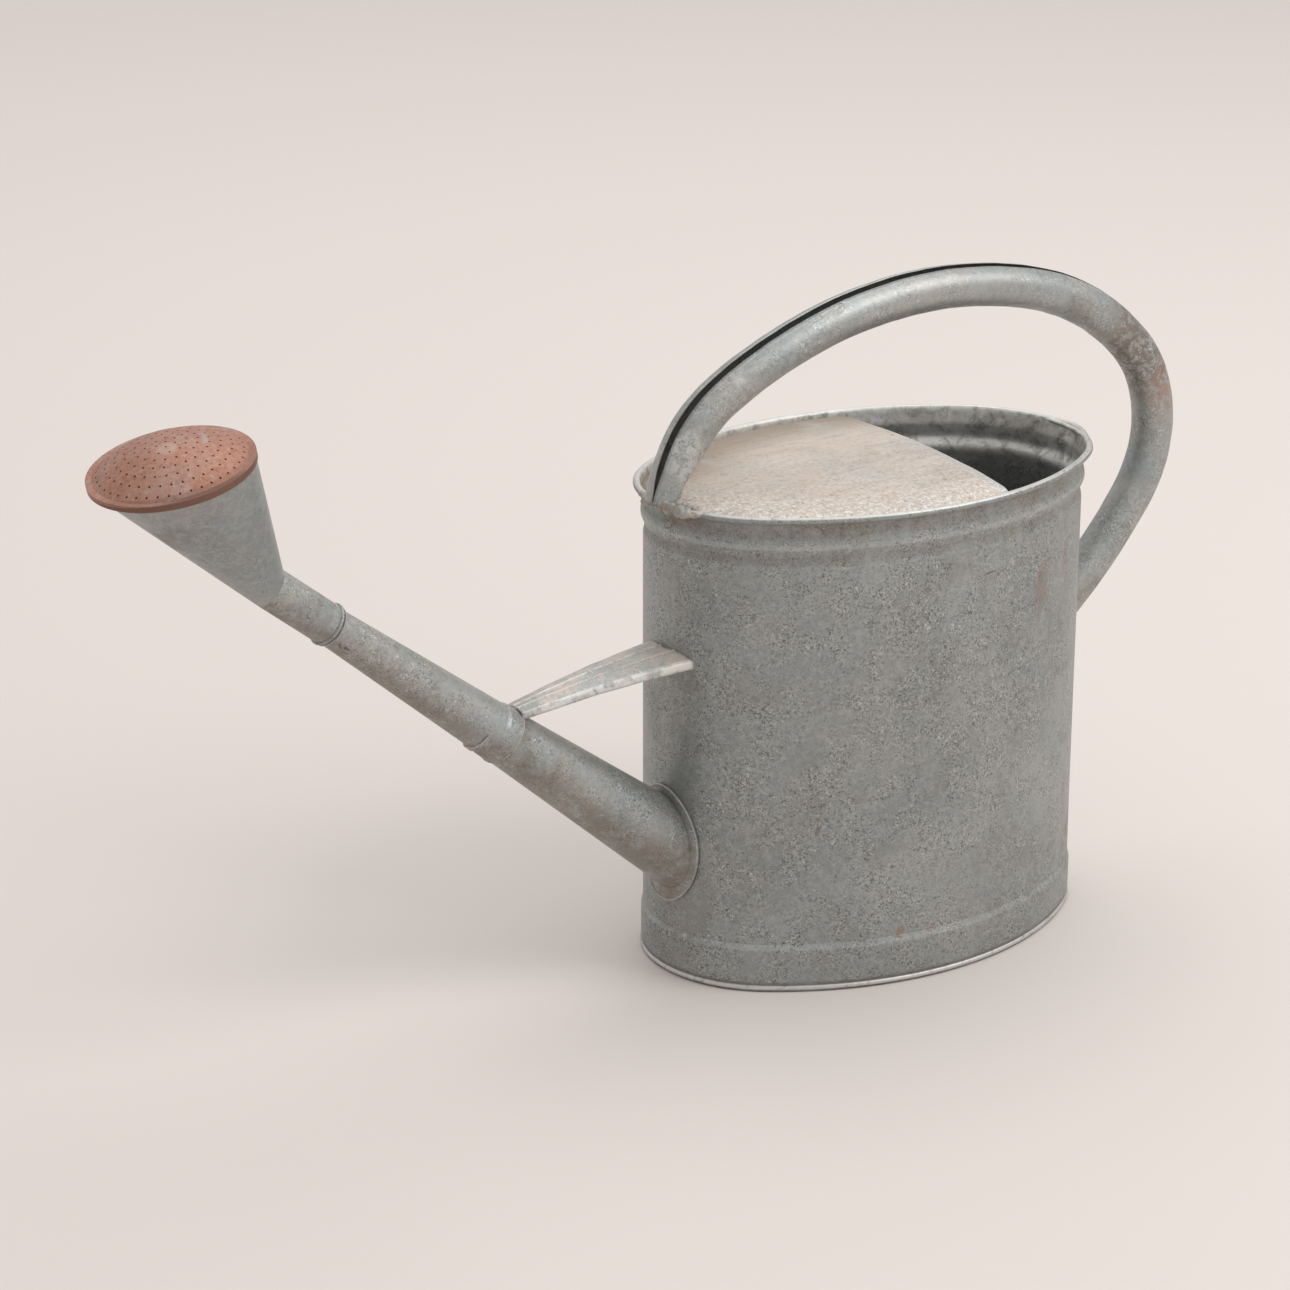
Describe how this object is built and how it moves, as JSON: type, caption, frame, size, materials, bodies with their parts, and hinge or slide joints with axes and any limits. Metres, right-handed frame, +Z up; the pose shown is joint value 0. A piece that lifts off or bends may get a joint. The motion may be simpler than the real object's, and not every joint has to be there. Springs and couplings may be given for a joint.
{
  "type": "watering can",
  "caption": "Weathered oval zinc watering can with a half cover, a rolled tube handle, a long braced spout and a pull-off copper spray rose.",
  "frame": {"origin": "on the floor under the middle of the oval body", "axes": "+Z up, -X along the spout toward the rose, -Y the near side"},
  "size_m": [0.7591, 0.212, 0.4118],
  "materials": {
    "weathered_zinc": "dull grey hot-dip zinc with fine spangle, white oxide bloom, brown grime and a few rust specks",
    "dirty_cover_zinc": "zinc under a dry beige and brown film of dirt with pale specks",
    "handle_zinc": "worn zinc tube, brighter along the grip, brown in its slit and at its bends",
    "aged_copper": "pink-brown aged copper, dull grey patches near the edge"
  },
  "bodies": {
    "can": {"body_shell": "weathered_zinc", "rim_wire": "weathered_zinc", "foot_ring": "weathered_zinc", "base_panel": "weathered_zinc", "half_cover": "dirty_cover_zinc", "handle": "handle_zinc", "spout_lower": "weathered_zinc", "spout_upper": "weathered_zinc", "spout_collar": "weathered_zinc", "spout_brace": "weathered_zinc"},
    "rose": {"rose_socket": "weathered_zinc", "rose_cone": "weathered_zinc", "rose_face": "aged_copper"}
  },
  "joints": [
    {"name": "rose_pull", "type": "slide", "parent": "can", "child": "rose", "axis": [-0.7815, 0, 0.6239], "range_m": [0, 0.04]}
  ]
}
